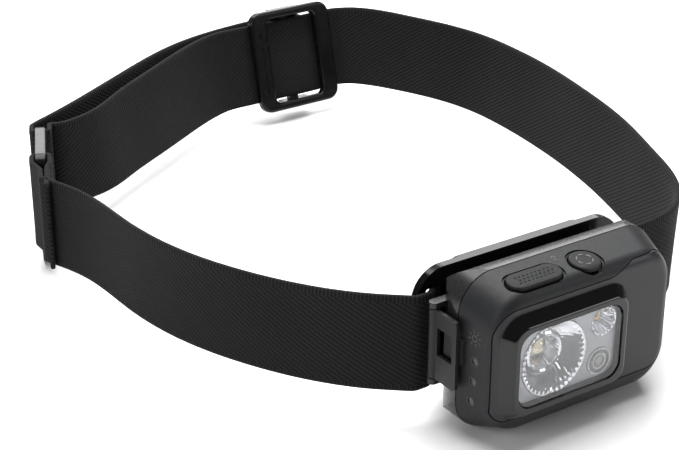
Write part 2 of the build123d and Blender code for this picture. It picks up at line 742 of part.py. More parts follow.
def straight_band():
    """The stretch of the long strap that runs straight through the slider."""
    lean = RIGHT_ROUTE[0][2]
    start, end = REAR_STRETCH
    sections = []
    for level, share in ((STRAP_LOW, -0.5), (STRAP_HIGH, 0.5)):
        middle = Pos((start + end) / 2, SLIDER_Y + lean * share)
        sections.append(Plane.XY.offset(level) * middle * Rectangle(end - start, STRAP_T))
    return loft(sections, ruled=True)


def slider_plane():
    """Plane of the slider: along the strap, leaning with it, facing into the loop."""
    lean = math.radians(SLIDER_LEAN)
    middle = (STRAP_LOW + STRAP_HIGH) / 2
    return Plane(origin=(SLIDER_X, SLIDER_Y, middle), x_dir=(1, 0, 0), z_dir=(0, -math.cos(lean), math.sin(lean)))


def slider():
    """Three-bar slide: the strap runs behind the two outer bars and before the middle one."""
    plane = slider_plane()
    gap = STRAP_T / 2 + 0.4
    frame = plane.offset(gap) * (RectangleRounded(SLIDER_W, SLIDER_H, 4.0) - RectangleRounded(18.6, 27.6, 2.0))
    front = extrude(frame, amount=SLIDER_T)
    front = fillet(front.faces().sort_by(Axis((0, 0, 0), plane.z_dir))[-1].edges(), 0.9)
    rail_z = SLIDER_H / 2 - 1.4
    body = front
    for side in (-1, 1):
        rail = plane.offset(-gap - 2.2) * Pos(0, side * rail_z) * Rectangle(10, 2.4)
        body += extrude(rail, amount=gap * 2 + 2.6)
    bar = extrude(plane.offset(-gap - 2.2) * Rectangle(3.2, 2 * rail_z), amount=2.2)
    for i in range(5):
        tooth = plane.offset(gap + SLIDER_T - 0.3) * Pos(-11.4, (i - 2) * 4.6) * RectangleRounded(1.3, 2.2, 0.3)
        body += extrude(tooth, amount=0.7)
    return body + bar


def strap_end_loop():
    """Folded and sewn end of the return strap, wrapped round the slider's middle bar."""
    plane = slider_plane()
    gap = STRAP_T / 2 + 0.4
    back = gap + 2.2 + 0.1
    wide = STRAP_HIGH - STRAP_LOW - 0.4
    outside = plane.offset(-back - STRAP_T) * Pos(-3.0, 0) * Rectangle(10.4, wide)
    return extrude(outside, amount=STRAP_T)


def ring_plane():
    """Plane of the plain ring on the left: along the strap there, upright."""
    along = Vector(0.42, 0.907, 0)
    middle = RING_H / 2
    return Plane(origin=(-61.6, 142.6, middle), x_dir=along, z_dir=along.cross(Vector(0, 0, 1)))


def strap_ring():
    """Ring that joins the two straps: a bar at each end and one across the middle."""
    plane = ring_plane()
    frame = RectangleRounded(RING_W, RING_H, 3.5)
    for side in (-1, 1):
        frame -= Pos(side * 5.6, 0) * RectangleRounded(7.4, RING_H - 5.4, 1.2)
    ring = extrude(plane.offset(-RING_T / 2) * frame, amount=RING_T)
    return fillet(ring.faces().sort_by(Axis((0, 0, 0), plane.z_dir))[-1].edges(), 0.7)


def write(name, shape):
    shape.label = name
    export_step(shape, os.path.join(PARTS, name + ".step"))


def main():
    os.makedirs(PARTS, exist_ok=True)
    nodes = {
        "head_shell": head_shell(),
        "face_cover": face_cover(),
        "window_lens": window_lens(),
        "carrier_plate": carrier_plate(),
        "main_reflector": main_reflector(),
        "main_led": main_led(),
        "main_led_dome": main_dome(),
        "led_star_board": led_star(),
        "twin_reflector": twin_reflector(),
        "twin_leds": twin_leds(),
        "night_lens": night_lens(),
        "night_led": night_led(),
        "small_led_board": small_led_board(),
        "led_risers": led_risers(),
        "circuit_board": circuit_board(),
        "switch_board": switch_board(),
        "power_switch": tact_switch(POWER_X),
        "mode_switch": tact_switch(MODE_X),
        "board_screws": board_screws(),
        "meter_light_pipes": meter_pipes(),
        "meter_leds": meter_leds(),
        "power_button": power_button(),
        "mode_button": mode_button(),
        "rear_case": rear_case(),
        "case_seal": seal_ring(0),
        "side_hinge_pin": hinge_pin(),
        "latch_arm": latch_arm(),
        "latch_pin": latch_pin(),
        "battery_top": battery_cell(1),
        "battery_middle": battery_cell(0),
        "battery_bottom": battery_cell(-1),
        "contact_plates": contact_plates(),
        "contact_springs": contact_springs(),
        "bracket": bracket(),
        "tilt_pin": tilt_pin(),
        "strap_front": front_band(),
        "strap_left": band(LEFT_ROUTE),
        "strap_return": band(RETURN_ROUTE, last=(0, 1)),
        "strap_inner": band(INNER_ROUTE, last=(0, 1)),
        "strap_rear": straight_band(),
        "strap_right": band(RIGHT_ROUTE, first=(0, 1)),
        "strap_ring": strap_ring(),
        "strap_slider": slider(),
        "strap_end_loop": strap_end_loop(),
    }
    for name, shape in nodes.items():
        write(name, shape)


main()
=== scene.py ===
import json
import math
import bmesh
import bpy
import numpy as np
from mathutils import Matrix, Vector


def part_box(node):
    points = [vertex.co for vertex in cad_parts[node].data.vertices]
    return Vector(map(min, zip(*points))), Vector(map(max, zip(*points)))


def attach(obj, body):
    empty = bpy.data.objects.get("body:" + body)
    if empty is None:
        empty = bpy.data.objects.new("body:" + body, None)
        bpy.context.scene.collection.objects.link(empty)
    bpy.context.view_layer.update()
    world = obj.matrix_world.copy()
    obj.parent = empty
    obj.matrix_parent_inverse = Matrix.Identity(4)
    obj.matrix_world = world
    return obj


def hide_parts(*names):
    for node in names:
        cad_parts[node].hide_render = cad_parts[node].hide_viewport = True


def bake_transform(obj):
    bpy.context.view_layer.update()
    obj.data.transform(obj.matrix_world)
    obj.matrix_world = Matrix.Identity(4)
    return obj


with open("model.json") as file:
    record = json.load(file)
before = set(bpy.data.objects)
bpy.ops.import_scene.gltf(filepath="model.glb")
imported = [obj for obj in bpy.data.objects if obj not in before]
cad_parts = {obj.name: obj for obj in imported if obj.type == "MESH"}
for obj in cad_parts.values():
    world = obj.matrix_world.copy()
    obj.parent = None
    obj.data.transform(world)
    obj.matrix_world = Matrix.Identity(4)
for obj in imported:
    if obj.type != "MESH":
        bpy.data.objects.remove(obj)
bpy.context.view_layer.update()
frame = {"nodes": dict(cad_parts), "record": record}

MM = 0.001
NODES = frame["nodes"]
JOINTS = {j["name"]: j for j in frame["record"]["behaviour"]["joints"]}


# ------------------------------------------------------------------ node maths for materials
def rgba(value):
    """A socket as it is, or a plain colour made opaque."""
    return value if isinstance(value, bpy.types.NodeSocket) else (*value, 1.0)


class Net:
    """Builds a material's node tree with short calls."""

    def __init__(self, name):
        self.mat = bpy.data.materials.new(name)
        self.mat.use_nodes = True
        self.tree = self.mat.node_tree
        self.tree.nodes.clear()
        self.out = self.add("ShaderNodeOutputMaterial")

    def add(self, kind, **settings):
        node = self.tree.nodes.new(kind)
        for key, value in settings.items():
            setattr(node, key, value)
        return node

    def put(self, socket, value):
        if isinstance(value, bpy.types.NodeSocket):
            self.tree.links.new(value, socket)
        elif value is not None:
            socket.default_value = value

    def math(self, op, a, b=None, c=None):
        node = self.add("ShaderNodeMath", operation=op)
        for socket, value in zip(node.inputs, (a, b, c)):
            self.put(socket, value)
        return node.outputs[0]

    def xyz(self, vector):
        node = self.add("ShaderNodeSeparateXYZ")
        self.put(node.inputs[0], vector)
        return node.outputs

    def coords(self, which="Object"):
        return self.add("ShaderNodeTexCoord").outputs[which]

    def noise(self, scale, detail=2.0, rough=0.5, vector=None):
        node = self.add("ShaderNodeTexNoise")
        self.put(node.inputs["Vector"], vector or self.coords())
        self.put(node.inputs["Scale"], scale)
        self.put(node.inputs["Detail"], detail)
        self.put(node.inputs["Roughness"], rough)
        return node.outputs[0]

    def cells(self, scale, feature="F1"):
        node = self.add("ShaderNodeTexVoronoi", feature=feature)
        self.put(node.inputs["Vector"], self.coords())
        self.put(node.inputs["Scale"], scale)
        return node.outputs[0]

    def span(self, value, low, high, out_low=0.0, out_high=1.0):
        node = self.add("ShaderNodeMapRange")
        for socket, v in zip(node.inputs, (value, low, high, out_low, out_high)):
            self.put(socket, v)
        return node.outputs[0]

    def mix(self, factor, a, b):
        node = self.add("ShaderNodeMix", data_type="RGBA")
        self.put(node.inputs[0], factor)
        self.put(node.inputs[6], rgba(a))
        self.put(node.inputs[7], rgba(b))
        return node.outputs[2]

    def blendf(self, factor, a, b):
        node = self.add("ShaderNodeMix", data_type="FLOAT")
        for socket, v in zip(node.inputs[:4], (factor, None, a, b)):
            self.put(socket, v)
        return node.outputs[0]

    def bump(self, height, distance, strength=1.0):
        node = self.add("ShaderNodeBump")
        self.put(node.inputs["Strength"], strength)
        self.put(node.inputs["Distance"], distance)
        self.put(node.inputs["Height"], height)
        return node.outputs[0]

    def principled(self, color, rough, metal=0.0, normal=None, **more):
        node = self.add("ShaderNodeBsdfPrincipled")
        self.put(node.inputs["Base Color"], rgba(color))
        self.put(node.inputs["Roughness"], rough)
        self.put(node.inputs["Metallic"], metal)
        if normal:
            self.put(node.inputs["Normal"], normal)
        for key, value in more.items():
            self.put(node.inputs[key.replace("_", " ")], value)
        return node.outputs[0]

    def edges(self, radius):
        """1 near sharp edges, 0 on the flats."""
        bevel = self.add("ShaderNodeBevel", samples=4)
        self.put(bevel.inputs["Radius"], radius)
        flat = self.add("ShaderNodeNewGeometry").outputs["Normal"]
        dot = self.add("ShaderNodeVectorMath", operation="DOT_PRODUCT")
        self.put(dot.inputs[0], bevel.outputs[0])
        self.put(dot.inputs[1], flat)
        return self.span(dot.outputs["Value"], 0.995, 0.8, 0.0, 1.0)

    def done(self, shader):
        self.put(self.out.inputs["Surface"], shader)
        return self.mat


def moulded(name, color, rough, grain=0.012, pitch=2600.0, edge_highlight=0.3, spread=0.2, spec=0.5):
    """Moulded plastic: spark-eroded grain, faint patches of tone and a painted highlight that lightens sharp
    edges.
    """
    net = Net(name)
    patches = net.span(net.noise(60.0, 3.0), 0.3, 0.7)
    dark = tuple(c * (1 - spread) for c in color)
    light = tuple(c * (1 + spread) for c in color)
    tone = net.mix(patches, dark, light)
    # Painted highlight: the colour is lightened along sharp edges, where light would catch them.
    painted_edge_light = net.math("MULTIPLY", net.edges(0.35 * MM), edge_highlight)
    tone = net.mix(painted_edge_light, tone, tuple(min(1.0, c * 2.6 + 0.02) for c in color))
    scuff = net.span(net.noise(900.0, 4.0, 0.7), 0.35, 0.7, rough - 0.05, rough + 0.06)
    normal = net.bump(net.noise(pitch, 2.0, 0.6), grain * MM)
    return net.done(net.principled(tone, scuff, normal=normal, Specular_IOR_Level=spec))


def glossy(name, color, rough=0.14, edge_highlight=0.15):
    """Polished black plastic with fine dust in its roughness, a slight ripple from the mould and a painted
    highlight that lightens sharp edges.
    """
    net = Net(name)
    patches = net.span(net.noise(40.0, 2.0), 0.3, 0.7)
    tone = net.mix(patches, color, tuple(c * 1.5 for c in color))
    # Painted highlight: the colour is lightened along sharp edges, where light would catch them.
    painted_edge_light = net.math("MULTIPLY", net.edges(0.3 * MM), edge_highlight)
    tone = net.mix(painted_edge_light, tone, tuple(c * 3 + 0.02 for c in color))
    shine = net.span(net.noise(500.0, 5.0, 0.7), 0.4, 0.75, rough, rough + 0.09)
    normal = net.bump(net.noise(120.0, 2.0), 0.02 * MM)
    return net.done(net.principled(tone, shine, normal=normal, Specular_IOR_Level=0.2))


def metal(name, color, rough=0.25, along="X"):
    """Drawn or plated metal with fine lines along one axis."""
    net = Net(name)
    stretch = net.add("ShaderNodeMapping")
    net.put(stretch.inputs["Vector"], net.coords())
    stretch.inputs["Scale"].default_value = (0.05, 1, 1) if along == "X" else (1, 1, 0.05)
    lines = net.noise(3500.0, 2.0, 0.6, stretch.outputs[0])
    tone = net.mix(net.span(lines, 0.3, 0.7), tuple(c * 0.8 for c in color), color)
    shine = net.span(lines, 0.3, 0.7, rough - 0.06, rough + 0.08)
    return net.done(net.principled(tone, shine, 1.0, net.bump(lines, 0.006 * MM)))


def clear(name, tint, gloss=0.09, rough=0.03, ripple=0.0):
    """Thin clear plastic: lets light straight through, with a constant share of reflection."""
    net = Net(name)
    through = net.add("ShaderNodeBsdfTransparent")
    through.inputs[0].default_value = (*tint, 1.0)
    shine = net.add("ShaderNodeBsdfGlossy")
    shine.inputs[0].default_value = (1, 1, 1, 1)
    net.put(shine.inputs["Roughness"], net.span(net.noise(300.0, 3.0), 0.3, 0.8, rough, rough + 0.05))
    if ripple:
        net.put(shine.inputs["Normal"], net.bump(net.noise(400.0), ripple * MM))
    mix = net.add("ShaderNodeMixShader")
    mix.inputs[0].default_value = gloss
    net.put(mix.inputs[1], through.outputs[0])
    net.put(mix.inputs[2], shine.outputs[0])
    return net.done(mix.outputs[0])


# ------------------------------------------------------------------ meshes
def mesh_object(name, verts, faces, material, smooth=True):
    data = bpy.data.meshes.new(name)
    data.from_pydata([tuple(v) for v in verts], [], faces)
    bm = bmesh.new()
    bm.from_mesh(data)
    bmesh.ops.recalc_face_normals(bm, faces=bm.faces)
    bm.to_mesh(data)
    bm.free()
    data.polygons.foreach_set("use_smooth", [smooth] * len(data.polygons))
    data.materials.append(material)
    obj = bpy.data.objects.new(name, data)
    bpy.context.scene.collection.objects.link(obj)
    return obj


def grid_faces(rows, columns, close_rows=False, close_columns=True):
    faces = []
    for i in range(rows if close_rows else rows - 1):
        for j in range(columns if close_columns else columns - 1):
            a, b = i * columns, ((i + 1) % rows) * columns
            faces.append((a + j, a + (j + 1) % columns, b + (j + 1) % columns, b + j))
    return faces


def tube(path, radius, sides=8, closed=False):
    """Vertices and faces of a round cord along 3-D points, its ends rounded off."""
    points = [Vector(p) for p in path]
    count = len(points)
    verts = []
    for i, p in enumerate(points):
        before = points[i - 1] if closed or i else p
        after = points[(i + 1) % count] if closed or i < count - 1 else p
        along = (after - before).normalized()
        side = along.orthogonal() if i == 0 else side - along * side.dot(along)
        side.normalize()
        up = along.cross(side)
        scale = 1.0
        if not closed and i in (0, count - 1):
            scale = 0.45
        for k in range(sides):
            a = 2 * math.pi * k / sides
            verts.append(p + (side * math.cos(a) + up * math.sin(a)) * radius * scale)
    faces = grid_faces(count, sides, close_rows=closed)
    if not closed:
        faces.append(tuple(range(sides - 1, -1, -1)))
        faces.append(tuple(range((count - 1) * sides, count * sides)))
    return verts, faces


def join(parts):
    verts, faces = [], []
    for v, f in parts:
        base = len(verts)
        verts += list(v)
        faces += [tuple(base + i for i in face) for face in f]
    return verts, faces


def dome(center, normal, radius, height, sides=10, rings=3):
    """Low rounded bump on a surface."""
    n = Vector(normal).normalized()
    u = n.orthogonal().normalized()
    w = n.cross(u)
    verts = []
    for r in range(rings + 1):
        a = (math.pi / 2) * r / rings
        for k in range(sides):
            t = 2 * math.pi * k / sides
            out = (u * math.cos(t) + w * math.sin(t)) * radius * math.cos(a)
            verts.append(Vector(center) + out + n * (height * math.sin(a) - (0.05 * MM if r == 0 else 0)))
    faces = grid_faces(rings + 1, sides)
    faces.append(tuple(range(sides - 1, -1, -1)))
    return verts, faces


def hit(node, start, way):
    """Where a line meets a CAD node, and the surface's normal there."""
    found, place, normal, _ = NODES[node].ray_cast(Vector(start), Vector(way).normalized())
    if not found:
        raise SystemExit("nothing of %s in the way" % node)
    return place, normal


def middle(node):
    low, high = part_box(node)
    return (Vector(low) + Vector(high)) / 2


# ------------------------------------------------------------------ webbing
STRAP_LOW, STRAP_HIGH = (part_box("strap_front")[k][2] for k in (0, 1))
STRAP_H = STRAP_HIGH - STRAP_LOW
STRAP_T = 1.4 * MM
RING = middle("strap_ring")
RING_WAY = Vector((0.42, 0.907, 0)).normalized()
RING_OUT = Vector((-RING_WAY.y, RING_WAY.x, 0))


def on_ring(along, out, lean=0.0):
    """Route point from the ring's own middle, in mm: along the strap, and out of the loop."""
    p = RING / MM + RING_WAY * along + RING_OUT * out
    return (p.x, p.y, lean)


def spline(points, step=1.0):
    """Smooth curve through route points, with continuous bending, as an array of samples."""
    p = np.array(points, float)
    t = np.concatenate([[0], np.cumsum(np.linalg.norm(np.diff(p[:, :2], axis=0), axis=1))])
    n = len(p)
    h = np.diff(t)
    a = np.zeros((n, n))
    b = np.zeros((n, p.shape[1]))
    a[0, 0] = a[-1, -1] = 1
    for i in range(1, n - 1):
        a[i, i - 1:i + 2] = h[i - 1], 2 * (h[i - 1] + h[i]), h[i]
        b[i] = 6 * ((p[i + 1] - p[i]) / h[i] - (p[i] - p[i - 1]) / h[i - 1])
    m = np.linalg.solve(a, b)
    where = np.linspace(0, t[-1], max(int(t[-1] / step), 2) + 1)
    k = np.clip(np.searchsorted(t, where, side="right") - 1, 0, n - 2)
    u, v = (where - t[k])[:, None], (t[k + 1] - where)[:, None]
    hk = h[k][:, None]
    return (m[k] * v ** 3 + m[k + 1] * u ** 3) / (6 * hk) + (p[k] / hk - m[k] * hk / 6) * v \
        + (p[k + 1] / hk - m[k + 1] * hk / 6) * u


def rounded(points, radius, step=0.35):
    """Polyline with its corners rounded, as samples of x, y and lean."""
    pts = [np.array(p, float) for p in points]
    out = [pts[0]]
    for a, b, c in zip(pts, pts[1:], pts[2:]):
        ua, uc = (a - b)[:2], (c - b)[:2]
        la, lc = np.linalg.norm(ua), np.linalg.norm(uc)
        turn = math.pi - math.acos(max(-1, min(1, float(ua @ uc / la / lc))))
        cut = min(radius * math.tan(turn / 2), 0.49 * la, 0.49 * lc)
        steps = max(int(turn * radius / step), 2)
        p, q = b + (a - b) * cut / la, b + (c - b) * cut / lc
        for s in range(steps + 1):
            u = s / steps
            out.append(p * (1 - u) ** 2 + b * 2 * u * (1 - u) + q * u * u)
    out.append(pts[-1])
    return np.array(out)


def even(samples, step):
    """The same line with samples a set distance apart."""
    d = np.concatenate([[0], np.cumsum(np.linalg.norm(np.diff(samples[:, :2], axis=0), axis=1))])
    keep = np.concatenate([[True], np.diff(d) > 1e-6])
    samples, d = samples[keep], d[keep]
    where = np.linspace(0, d[-1], int(d[-1] / step) + 1)
    return np.stack([np.interp(where, d, samples[:, i]) for i in range(samples.shape[1])], 1)


def webbing(name, samples, material, thick=STRAP_T / MM, narrow=0.0):
    """Woven band on edge along plan samples, with rounded selvedges and woven relief in its UVs."""
    xy = samples[:, :2]
    way = np.gradient(xy, axis=0)
    way /= np.linalg.norm(way, axis=1)[:, None]
    out = np.stack([-way[:, 1], way[:, 0]], 1)
    run = np.concatenate([[0], np.cumsum(np.linalg.norm(np.diff(xy, axis=0), axis=1))])
    half = STRAP_H / MM / 2 - narrow
    levels = [-1, -0.985, -0.95, -0.9, -0.84, -0.5, 0, 0.5, 0.84, 0.9, 0.95, 0.985, 1]
    fat = [0.45, 0.8, 0.96, 1.0, 0.9, 0.9, 0.9, 0.9, 0.9, 1.0, 0.96, 0.8, 0.45]
    ring = [(v, f) for v, f in zip(levels, fat)] + [(v, -f) for v, f in zip(levels[::-1], fat[::-1])]
    mid = (STRAP_LOW + STRAP_HIGH) / 2 / MM
    verts, uvs = [], []
    for i in range(len(xy)):
        lean = samples[i, 2]
        for v, f in ring:
            shift = lean * v / 2 + f * thick / 2
            verts.append((float(xy[i, 0] + out[i, 0] * shift) * MM, float(xy[i, 1] + out[i, 1] * shift) * MM,
                          (mid + v * half) * MM))
            uvs.append((float(run[i]) * MM, v * half * MM))
    count = len(ring)
    faces = grid_faces(len(xy), count)
    faces.append(tuple(range(count - 1, -1, -1)))
    faces.append(tuple(range((len(xy) - 1) * count, len(xy) * count)))
    obj = mesh_object(name, verts, faces, material)
    layer = obj.data.uv_layers.new(name="UVMap")
    for poly in obj.data.polygons:
        for loop in poly.loop_indices:
            layer.data[loop].uv = uvs[obj.data.loops[loop].vertex_index]
    return obj, float(run[-1]) * MM


RIB_PITCH = 1.05 * MM
STITCH_PITCH = 0.95 * MM


def woven(name):
    """Black elastic: a diagonal twill over the field and cross ribs along both selvedges, with painted shade
    in the dips of the weave and a painted highlight on its raised threads.
    """
    net = Net(name)
    u, v, _ = net.xyz(net.coords("UV"))
    wobble = net.math("MULTIPLY", net.noise(450.0, 2.0, 0.5), 0.5)
    slant = math.radians(33)
    run, rise = math.cos(slant), math.sin(slant)
    across = net.math("ADD", net.math("MULTIPLY", u, rise), net.math("MULTIPLY", v, run))
    along = net.math("SUBTRACT", net.math("MULTIPLY", u, run), net.math("MULTIPLY", v, rise))
    rib = net.math("SINE", net.math("ADD", net.math("MULTIPLY", across, 2 * math.pi / RIB_PITCH), wobble))
    row = net.math("FLOOR", net.math("MULTIPLY", across, 1 / RIB_PITCH))
    stitch = net.math("SINE", net.math("ADD", net.math("MULTIPLY", along, 2 * math.pi / STITCH_PITCH),
                                       net.math("MULTIPLY", row, 2.4)))
    field = net.math("ADD", net.span(rib, -1, 1, 0, 0.75), net.span(stitch, -1, 1, 0, 0.25))
    edge_rib = net.span(net.math("SINE", net.math("MULTIPLY", u, 2 * math.pi / (0.9 * MM))), -1, 1)
    edge = net.span(net.math("ABSOLUTE", v), STRAP_H / 2 - 1.7 * MM, STRAP_H / 2 - 1.4 * MM)
    height = net.blendf(edge, field, edge_rib)
    fuzz = net.noise(5200.0, 3.0, 0.7)
    full = net.math("ADD", height, net.math("MULTIPLY", fuzz, 0.35))
    dust = net.span(net.noise(35.0, 3.0), 0.3, 0.75)
    # Painted shade and highlight: the colour goes darker in the dips of the weave and lighter on its raised
    # threads, following the relief height.
    deep = net.mix(dust, (0.0032, 0.0032, 0.0034), (0.0045, 0.0045, 0.0048))
    high = net.mix(dust, (0.0125, 0.0125, 0.0132), (0.0170, 0.0170, 0.0180))
    tone = net.mix(net.span(full, 0.15, 1.05), deep, high)
    normal = net.bump(full, 0.16 * MM, 0.9)
    return net.done(net.principled(tone, 0.86, normal=normal, Sheen_Weight=0.02, Sheen_Roughness=0.5,
                                   Specular_IOR_Level=0.15))


WEB = woven("webbing")

# The ring's outer bars and the webbing that wraps them, in mm from the ring's middle.
BAR = 10.9
SIDE = 2.45
left_wrap = rounded([
    on_ring(-29, -1.5), on_ring(-17, -1.6), on_ring(-13.8, -2.45), on_ring(-BAR + 2.5, -SIDE),
    on_ring(-BAR + 2.5, SIDE), on_ring(-13.6, SIDE - 0.1), on_ring(-18.5, 0.1), on_ring(-24, 0.0),
], 1.3)
left_route = [
    on_ring(-24, 0.0), (-67.6, 108, 0), (-66, 84, 0), (-62, 60, 0), (-55, 42.5, 0), (-46, 27.6, 0),
    (-37.5, 18.0, 0), (-32.1, 13.4, 0),
]
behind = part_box("bracket")[1][1] / MM + STRAP_T / MM / 2 + 0.05
front_path = [
    (-31.9, 13.2, 0), (-30.3, 11.9, 0), (-26.4, 11.9, 0), (-20.6, behind, 0), (23.1, behind, 0),
    (28.9, 11.9, 0), (38.6, 11.7, 0),
]
right_route = [
    (38.6, 11.7, 0), (49.5, 13.8, 0), (60.4, 22.6, 1.5), (71.4, 44, 3), (80.6, 68, 4), (87, 92, 4),
    (90.6, 112, 4.5), (92.2, 130, 4.5), (91.8, 146, 4.5), (88.6, 160, 4.5), (83.5, 173, 5),
    (77.8, 184.2, 6), (73.4, 189.2, 6.2), (68.6, 191.5, 6.2), (60, 191.5, 6.2), (45, 191.5, 6.2),
    (31.6, 191.5, 6.2), (25, 191.4, 6.2), (18, 189.2, 6.2), (6, 182.8, 6), (-9, 173.4, 5.5),
    (-26, 162.6, 4.5), (-38, 154.8, 3.2), (-46.5, 152.2, 2.0), (-52.3, 152.6, 0.8), on_ring(13.6, -2.5, 0),
]
right_wrap = rounded([
    on_ring(13.6, -2.5), on_ring(BAR - 2.5, -SIDE), on_ring(BAR - 2.5, 0.4),
], 1.3)
return_wrap = rounded([
    on_ring(BAR - 2.5, 0.0), on_ring(BAR - 2.5, SIDE), on_ring(13.0, SIDE),
], 1.3)
return_route = [
    on_ring(13.0, SIDE, 0.3), (-54.6, 156.9, 1.5), (-46.6, 159.4, 4.4), (-31, 167.4, 6), (-14, 177.4, 6.5),
    (2, 186.4, 6.5), (16, 191.8, 6.5), (27, 194.2, 6.2), (36, 195.3, 6.2), (45, 196.05, 6.2),
]
return_end = rounded([
    (45, 196.05, 6.2), (53.35, 196.05, 6.2), (53.35, 193.6, 6.2),
], 1.5)


def chain(*pieces):
    whole = [pieces[0]]
    for piece in pieces[1:]:
        whole.append(piece[1:])
    return np.concatenate(whole)


main_line = even(chain(left_wrap, spline(left_route), rounded(front_path, 2.2), spline(right_route),
                       right_wrap), 0.8)
# The long strap is listed the other way round the loop, so its lean changes sign.
main_line[:, 2] *= -1
return_line = even(chain(return_wrap, spline(return_route), return_end), 0.8)
web_main, main_length = webbing("webbing_main", main_line, WEB)
web_return, return_length = webbing("webbing_return", return_line, WEB)
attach(web_main, "bracket")
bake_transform(web_return)
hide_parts("strap_left", "strap_front", "strap_right", "strap_rear", "strap_inner")
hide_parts("strap_return", "strap_end_loop")


def bar_tack(name, centre, way, out, body, rows=3, columns=2):
    """Sewn box: short raised stitches on the outer face of the webbing."""
    parts = []
    for c in range(columns):
        for k in range(21):
            z = (k - 10) * 1.05 * MM
            for s in range(rows):
                a = (c - (columns - 1) / 2) * 6.5 * MM + (s - (rows - 1) / 2) * 0.75 * MM
                base = Vector(centre) + way * a + Vector((0, 0, z)) + out * 0.72 * MM
                rise = Vector((0, 0, 0.42 * MM))
                parts.append(tube([base - rise, base + out * 0.1 * MM, base + rise], 0.14 * MM, 6))
    net = Net("thread_" + body)
    lay = net.noise(4200.0, 2.0)
    tone = net.mix(net.span(lay, 0.3, 0.7), (0.012, 0.012, 0.013), (0.035, 0.035, 0.037))
    material = net.done(net.principled(tone, 0.6, normal=net.bump(lay, 0.03 * MM)))
    obj = mesh_object(name, *join(parts), material)
    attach(obj, body)
    return obj


tack_place = RING + RING_WAY * -24 * MM
LEFT_WAY = Vector((-0.01, 1, 0)).normalized()
LEFT_OUT = Vector((-1, -0.01, 0)).normalized()
stitches_left = bar_tack("stitches_left", Vector((-67.45 * MM, 118.6 * MM, tack_place.z + 3.2 * MM)),
                         LEFT_WAY, LEFT_OUT, "bracket")


# ------------------------------------------------------------------ optics
def faceted_bowl(name, node, profile, flutes, deep, material, twist=0.0):
    """Reflector whose wall is pressed into flutes; profile is radius share and depth share."""
    low, high = (Vector(c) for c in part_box(node))
    centre = Vector(((low.x + high.x) / 2, low.y, (low.z + high.z) / 2))
    size, depth = (high.x - low.x) / 2, high.y - low.y
    per = 6
    count = flutes * per
    verts = []
    for share, down, press in profile:
        for k in range(count):
            a = 2 * math.pi * (k / count) + twist * down
            wave = abs(math.sin(flutes * math.pi * k / count))
            r = size * share * (1 - deep * press * (1 - wave))
            verts.append((centre.x + r * math.cos(a), centre.y + depth * down, centre.z + r * math.sin(a)))
    obj = mesh_object(name, verts, grid_faces(len(profile), count), material, smooth=False)
    thick = obj.modifiers.new("wall", "SOLIDIFY")
    thick.thickness = 0.25 * MM
    thick.offset = 1
    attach(obj, "head")
    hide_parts(node)


def silvered(name):
    net = Net(name)
    cloud = net.noise(800.0, 3.0, 0.6)
    tone = net.mix(net.span(cloud, 0.3, 0.7), (0.48, 0.485, 0.50), (0.66, 0.66, 0.68))
    return net.done(net.principled(tone, net.span(cloud, 0.3, 0.7, 0.04, 0.10), 1.0,
                                   net.bump(net.noise(1500.0), 0.01 * MM)))


MIRROR = silvered("reflector")
main_profile = [(0.985, 0.0, 0.0), (0.97, 0.01, 0.4)]
for i in range(13):
    t = i / 12
    main_profile.append((0.965 - 0.41 * t, 0.02 + 0.60 * t ** 0.8, 1.0))
main_profile += [(0.545, 0.56, 0.0), (0.53, 0.50, 0.0), (0.50, 0.47, 0.0), (0.475, 0.50, 0.0)]
for i in range(8):
    t = i / 7
    main_profile.append((0.465 - 0.145 * t, 0.52 + 0.42 * t, 0.7))
faceted_bowl("main_bowl", "main_reflector", main_profile, 40, 0.085, MIRROR, 0.5)
twin_profile = [(0.97, 0.0, 0.0)]
for i in range(9):
    t = i / 8
    twin_profile.append((0.95 - 0.42 * t, 0.02 + 0.9 * t ** 0.8, 1.0))
faceted_bowl("twin_bowl", "twin_reflector", twin_profile, 18, 0.09, MIRROR, 0.2)


def lens_rings(name, node, shares, radius, material):
    """Raised steps moulded into the face of a round lens."""
    low, high = (Vector(c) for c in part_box(node))
    centre = Vector(((low.x + high.x) / 2, low.y, (low.z + high.z) / 2))
    size = (high.x - low.x) / 2
    steps = []
    for share in shares:
        turns = (2 * math.pi * s / 32 for s in range(32))
        circle = [centre + Vector((math.cos(a), 0, math.sin(a))) * size * share for a in turns]
        steps.append(tube(circle, radius, 8, closed=True))
    obj = mesh_object(name, *join(steps), material)
    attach(obj, "head")


# Painted highlight and painted shade: steps of one clear lens are drawn as opaque pale rings (highlight) and
# near-black rings (shade).
STEP_HIGHLIGHT = moulded("ring_painted_highlight", (0.5, 0.5, 0.52), 0.2)
STEP_SHADE = moulded("ring_painted_shade", (0.02, 0.02, 0.022), 0.3)
lens_rings("night_rings_highlight", "night_lens", (0.92, 0.52), 0.13 * MM, STEP_HIGHLIGHT)
lens_rings("night_rings_shade", "night_lens", (0.74, 0.36), 0.12 * MM, STEP_SHADE)


# ------------------------------------------------------------------ marks on the shell and keys
PRESS = Vector(JOINTS["mode_press"]["axis"]).normalized()
TOP_OUT = -PRESS
TOP_X = Vector((1, 0, 0))
TOP_BACK = TOP_OUT.cross(TOP_X)


def on_top(node, x, y):
    """Point on the sloping top, from above."""
    place, _ = hit(node, (x, y, 0.06), (0, 0, -1))
    return place


def mark_material(name, color, rough=0.5):
    net = Net(name)
    speck = net.noise(3000.0, 3.0, 0.6)
    tone = net.mix(net.span(speck, 0.3, 0.7), tuple(c * 0.7 for c in color), tuple(c * 1.2 for c in color))
    return net.done(net.principled(tone, rough, normal=net.bump(speck, 0.01 * MM)))


PRINT = mark_material("print_grey", (0.07, 0.07, 0.073))
KEY_PRINT = mark_material("key_print", (0.26, 0.26, 0.27))
LOCK_PRINT = mark_material("lock_print", (0.16, 0.16, 0.165))
KEY_RUBBER = moulded("key", (0.0120, 0.0124, 0.0135), 0.6, 0.02, 2400.0, 0.2, 0.2, 0.2)

